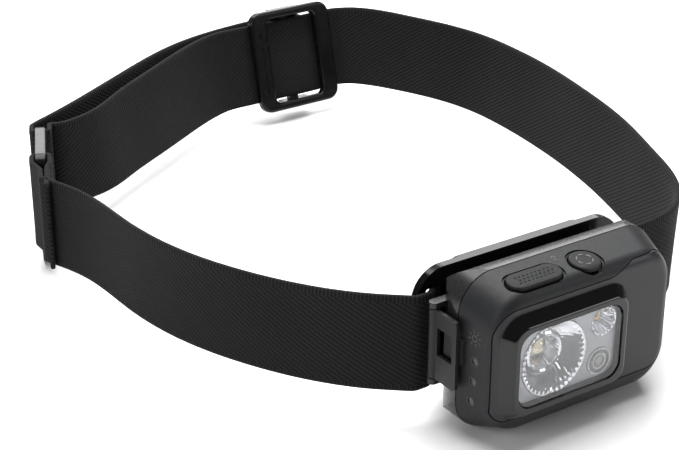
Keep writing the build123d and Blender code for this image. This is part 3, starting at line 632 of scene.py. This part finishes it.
mode_mid = middle("mode_button")
mode_top = on_top("mode_button", mode_mid.x, mode_mid.y)
arcs = []
for k in range(6):
    start = 2 * math.pi * k / 6
    points = [mode_top + (TOP_X * math.cos(a) + TOP_BACK * math.sin(a)) * 1.9 * MM + TOP_OUT * 0.02 * MM
              for a in (start + s * 0.18 for s in range(5))]
    arcs.append(tube(points, 0.11 * MM, 6))
ring_mark = mesh_object("mode_ring_mark", *join(arcs), KEY_PRINT)
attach(ring_mark, "mode_button")

power_mid = middle("power_button")
dots = []
for row in range(3):
    for col in range(9):
        x = power_mid.x + ((col - 4) * 1.15 + (row % 2) * 0.55) * MM
        y = power_mid.y + (row - 1) * 1.05 * MM
        dots.append(dome(on_top("power_button", x, y), TOP_OUT, 0.3 * MM, 0.16 * MM))
pad = mesh_object("power_pad_dots", *join(dots), KEY_RUBBER)
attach(pad, "power_button")

lock_at = on_top("head_shell", -3.0 * MM, -3.1 * MM)


def flat_line(points, centre, u, v, out, radius):
    return tube([centre + u * (a * MM) + v * (b * MM) + out * 0.01 * MM for a, b in points], radius * MM, 6)


lock = [flat_line([(-0.75, -0.9), (0.75, -0.9)], lock_at, TOP_X, TOP_BACK, TOP_OUT, 0.1)]
for level in (-0.6, -0.3, 0.0):
    lock.append(flat_line([(-0.75, level), (0.75, level)], lock_at, TOP_X, TOP_BACK, TOP_OUT, 0.14))
shackle = [(-0.5, 0.0), (-0.5, 0.5), (-0.3, 0.85), (0, 0.95), (0.3, 0.85), (0.5, 0.5), (0.5, 0.0)]
lock.append(flat_line(shackle, lock_at, TOP_X, TOP_BACK, TOP_OUT, 0.09))
lock.append(flat_line([(-2.3, -0.75), (-1.5, -0.35)], lock_at, TOP_X, TOP_BACK, TOP_OUT, 0.09))
lock.append(flat_line([(1.5, 0.1), (2.3, 0.35)], lock_at, TOP_X, TOP_BACK, TOP_OUT, 0.09))
lock_mark = mesh_object("lock_mark", *join(lock), LOCK_PRINT)
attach(lock_mark, "head")

# The marks on the left wall are found by looking along +X from outside it.
OUTSIDE_X = -50 * MM
SUN_Y, SUN_Z = -5.3 * MM, 27.5 * MM
METER_Y, METER_Z = -5.6 * MM, 21.8 * MM
METER_SHIFT, METER_PITCH = 0.4 * MM, 5.3 * MM

wall_at, wall_out = hit("head_shell", (OUTSIDE_X, SUN_Y, SUN_Z), (1, 0, 0))
wall_u = Vector((0, 1, 0)) - wall_out * wall_out.y
wall_u.normalize()
wall_v = wall_out.cross(wall_u)
sun = []
points = [wall_at + (wall_u * math.cos(a) + wall_v * math.sin(a)) * 0.72 * MM for a in
          (2 * math.pi * s / 20 for s in range(20))]
sun.append(tube(points, 0.11 * MM, 6, closed=True))
for k in range(8):
    a = 2 * math.pi * k / 8 + 0.2
    for r, size in ((1.45, 0.2), (2.0, 0.15)):
        place = wall_at + (wall_u * math.cos(a) + wall_v * math.sin(a)) * r * MM
        sun.append(dome(place, wall_out, size * MM, 0.07 * MM))
sun_mark = mesh_object("sun_mark", *join(sun), PRINT)
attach(sun_mark, "head")

rings = []
for i in range(3):
    y, z = METER_Y + METER_SHIFT * i, METER_Z - METER_PITCH * i
    place, _ = hit("meter_light_pipes", (OUTSIDE_X, y, z), (1, 0, 0))
    circle = [place + (wall_u * math.cos(a) + wall_v * math.sin(a)) * 1.05 * MM for a in
              (2 * math.pi * s / 28 for s in range(28))]
    rings.append(tube(circle, 0.16 * MM, 8, closed=True))
METER_RIM = mark_material("meter_ring", (0.012, 0.012, 0.013), 0.35)
meter_rings = mesh_object("meter_rings", *join(rings), METER_RIM)
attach(meter_rings, "head")


# ------------------------------------------------------------------ materials on the CAD nodes
def cover_material():
    """Satin cover with a painted highlight on its sharp edges; its hood, in front of the flat of the face,
    is polished.
    """
    net = Net("cover")
    y = net.xyz(net.coords())[1]
    hood = net.span(y, -11.62 * MM, -11.72 * MM)
    patches = net.span(net.noise(60.0, 3.0), 0.3, 0.7)
    base = net.mix(patches, (0.0170, 0.0168, 0.0192), (0.0205, 0.0200, 0.0230))
    tone = net.mix(hood, base, (0.0025, 0.0025, 0.0028))
    # Painted highlight: the colour is lightened along sharp edges, where light would catch them.
    painted_edge_light = net.math("MULTIPLY", net.edges(0.3 * MM), 0.12)
    tone = net.mix(painted_edge_light, tone, (0.06, 0.06, 0.063))
    rough = net.blendf(hood, 0.36, net.span(net.noise(500.0, 4.0), 0.4, 0.75, 0.08, 0.15))
    grain = net.blendf(hood, net.noise(2600.0, 2.0, 0.6), 0.5)
    spec = net.blendf(hood, 0.28, 0.42)
    return net.done(net.principled(tone, rough, normal=net.bump(grain, 0.008 * MM), Specular_IOR_Level=spec))


def cell_material():
    """Sleeve with a coloured band near the nub, bare steel at both ends."""
    net = Net("cell")
    x, y, z = net.xyz(net.coords())
    band = net.math("GREATER_THAN", net.math("FRACT", net.math("MULTIPLY", x, 1 / (15 * MM))), 0.55)
    grain = net.noise(700.0, 3.0)
    tone = net.mix(band, (0.02, 0.03, 0.07), (0.35, 0.36, 0.38))
    tone = net.mix(net.span(grain, 0.3, 0.8, 0.0, 0.25), tone, (0.2, 0.2, 0.22))
    ends = net.math("GREATER_THAN", net.math("ABSOLUTE", net.math("SUBTRACT", x, 1.25 * MM)), 21.4 * MM)
    tone = net.mix(ends, tone, (0.6, 0.6, 0.6))
    return net.done(net.principled(tone, 0.28, ends, net.bump(grain, 0.01 * MM)))


def board_material():
    net = Net("board")
    lines = net.cells(420.0, "DISTANCE_TO_EDGE")
    tracks = net.math("LESS_THAN", lines, 0.09)
    tone = net.mix(tracks, (0.012, 0.07, 0.03), (0.03, 0.15, 0.06))
    pads = net.math("LESS_THAN", net.cells(300.0), 0.14)
    tone = net.mix(pads, tone, (0.6, 0.5, 0.25))
    return net.done(net.principled(tone, 0.35, pads, net.bump(tracks, 0.03 * MM)))


def chip(name, color):
    """Phosphor over the die, with speckled tone."""
    net = Net(name)
    speck = net.noise(2500.0, 3.0, 0.7)
    tone = net.mix(net.span(speck, 0.3, 0.7), tuple(c * 0.75 for c in color), color)
    return net.done(net.principled(tone, 0.35, normal=net.bump(speck, 0.02 * MM), Coat_Weight=0.5))


SHELL = moulded("shell", (0.0125, 0.0130, 0.0142), 0.5, 0.012, 2600.0, 0.12, 0.12, 0.22)
CASE = moulded("case", (0.0150, 0.0150, 0.0158), 0.3, 0.008, 2600.0, 0.1, 0.12, 0.35)
BLACK = glossy("bracket", (0.003, 0.003, 0.0034))
HARDWARE = glossy("hardware", (0.004, 0.004, 0.0044), 0.2)
LATCH = moulded("latch", (0.0100, 0.0100, 0.0110), 0.36, 0.008, 2600.0, 0.15, 0.15, 0.25)
LOOKS = {
    "shell": SHELL, "cover": cover_material(), "window": clear("window", (0.97, 0.975, 0.98), 0.07, 0.01),
    "carrier": moulded("carrier", (0.24, 0.245, 0.26), 0.38, 0.004, 2000.0, 0.3, 0.06), "reflector": MIRROR,
    "emitter": chip("emitter", (0.85, 0.62, 0.16)),
    "amber_emitter": chip("amber_emitter", (0.95, 0.55, 0.06)),
    "clear_dome": clear("clear_dome", (0.97, 0.96, 0.93), 0.16, 0.02, 0.05),
    "night_lens": clear("night_lens", (0.62, 0.63, 0.64), 0.14, 0.03, 0.05),
    "aluminium_board": metal("aluminium_board", (0.75, 0.76, 0.78), 0.35),
    "board": board_material(), "risers": moulded("risers", (0.5, 0.5, 0.48), 0.5),
    "switch": glossy("switch", (0.02, 0.02, 0.02), 0.3), "screw": metal("screw", (0.62, 0.62, 0.6), 0.3),
    "light_pipe": moulded("light_pipe", (0.035, 0.035, 0.038), 0.2, 0.01, 1500.0, 0.1, 0.15),
    "meter_emitter": chip("meter_emitter", (0.5, 0.65, 0.3)), "key": KEY_RUBBER, "case": CASE,
    "seal": moulded("seal", (0.012, 0.012, 0.012), 0.7),
    "dark_pin": metal("dark_pin", (0.05, 0.05, 0.052), 0.35, "Z"),
    "latch": LATCH, "cell": cell_material(), "contact": metal("contact", (0.72, 0.68, 0.58), 0.25),
    "bracket": BLACK, "webbing": WEB, "hardware": HARDWARE,
}
for entry in frame["record"]["subparts"]:
    target = NODES[entry["node"]]
    for slot in target.material_slots:
        slot.material = LOOKS[entry["material_slot"]]


# ------------------------------------------------------------------ studio
def floor_material():
    net = Net("floor")
    tone = net.mix(net.span(net.noise(4.0, 3.0), 0.3, 0.7), (0.86, 0.86, 0.865), (0.88, 0.88, 0.88))
    return net.done(net.principled(tone, 0.55, normal=net.bump(net.noise(900.0), 0.01 * MM)))


def sweep(name, width, depth, rise, curve, material):
    """Paper sweep: flat floor that curves up into a backdrop."""
    profile = [(-depth, 0.0), (-depth / 3, 0.0), (depth - curve, 0.0)]
    for s in range(1, 13):
        a = (math.pi / 2) * s / 12
        profile.append((depth - curve + curve * math.sin(a), curve * (1 - math.cos(a))))
    profile.append((depth, rise))
    verts = [(side * width, y, z) for y, z in profile for side in (-1, 1)]
    return mesh_object(name, verts, grid_faces(len(profile), 2, close_columns=False), material)


# Camera: turn round the upright and rise above the floor, the point it looks at, distance and lens.
VIEW_TURN, VIEW_RISE = math.radians(-34.07), math.radians(25.39)
TARGET = Vector((-0.55, 86.81, 12.0)) * MM
DISTANCE = 463.15 * MM
LENS_LENGTH = 90.13
BACK = Vector((math.sin(VIEW_TURN) * math.cos(VIEW_RISE), -math.cos(VIEW_TURN) * math.cos(VIEW_RISE),
               math.sin(VIEW_RISE)))

floor = sweep("floor", 4.0, 2.6, 2.2, 1.0, floor_material())
floor.rotation_euler = (0, 0, VIEW_TURN)
floor.location = (0, 0, -0.0002)


def soft_box(name, place, aim, size, power):
    """Rectangular light aimed at a point."""
    light = bpy.data.lights.new(name, "AREA")
    light.shape = "RECTANGLE"
    light.size, light.size_y = size
    light.energy = power
    obj = bpy.data.objects.new(name, light)
    obj.location = place
    obj.rotation_euler = (Vector(aim) - Vector(place)).to_track_quat("-Z", "Y").to_euler()
    bpy.context.scene.collection.objects.link(obj)


soft_box("top_box", (0.1, 0.35, 1.1), (0, 0.08, 0), (1.1, 1.1), 30)
soft_box("left_box", (-1.0, -0.15, 0.55), (0, 0.05, 0.02), (0.5, 0.6), 4)
soft_box("right_box", (0.75, -0.75, 0.5), (0, 0.0, 0.02), (0.4, 0.5), 2.5)
soft_box("back_box", (0.5, 1.1, 0.6), (0, 0.08, 0.02), (1.2, 0.5), 9)

world = bpy.data.worlds.new("studio")
bpy.context.scene.world = world
bpy.context.scene.view_settings.view_transform = "Standard"
world.use_nodes = True
world.node_tree.nodes["Background"].inputs[0].default_value = (1, 1, 1, 1)
world.node_tree.nodes["Background"].inputs[1].default_value = 0.12

lens = bpy.data.cameras.new("camera")
lens.sensor_width = 36.0
lens.lens = LENS_LENGTH
lens.clip_start = 0.01
camera = bpy.data.objects.new("camera", lens)
camera.location = TARGET + BACK * DISTANCE
camera.rotation_euler = BACK.to_track_quat("Z", "Y").to_euler()
bpy.context.scene.collection.objects.link(camera)
bpy.context.scene.camera = camera
